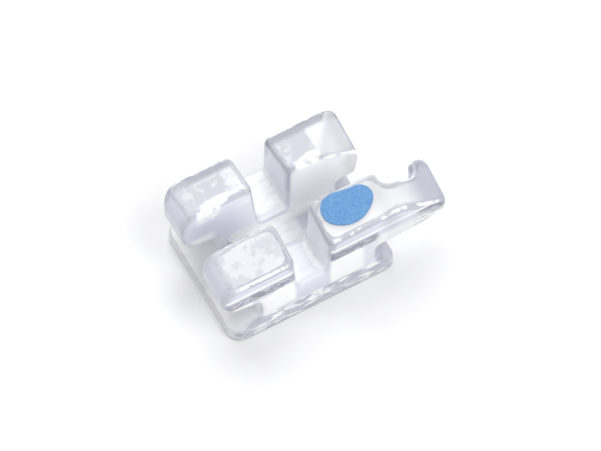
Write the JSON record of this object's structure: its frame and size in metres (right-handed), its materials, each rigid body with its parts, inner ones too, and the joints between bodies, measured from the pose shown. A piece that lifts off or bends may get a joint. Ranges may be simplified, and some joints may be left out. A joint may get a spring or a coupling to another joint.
{
  "type": "orthodontic bracket",
  "caption": "Clear ceramic twin orthodontic bracket: tie wings around an archwire slot and a centre groove, a side hook, an orientation mark and a studded bonding base.",
  "frame": {"origin": "centre of the bonding base, on the plane of its land", "axes": "+Z points away from the tooth, +X points gingivally, the way the hook reaches, and +Y across the bracket; the archwire slot leans 4 degrees from Y"},
  "size_m": [0.0046, 0.0028, 0.0017],
  "materials": {
    "clear_ceramic": "polished clear alumina, faintly milky",
    "mark_paint": "thin blue orientation paint"
  },
  "bodies": {
    "root": {"bracket_body": "clear_ceramic", "id_dot": "mark_paint"}
  },
  "joints": []
}
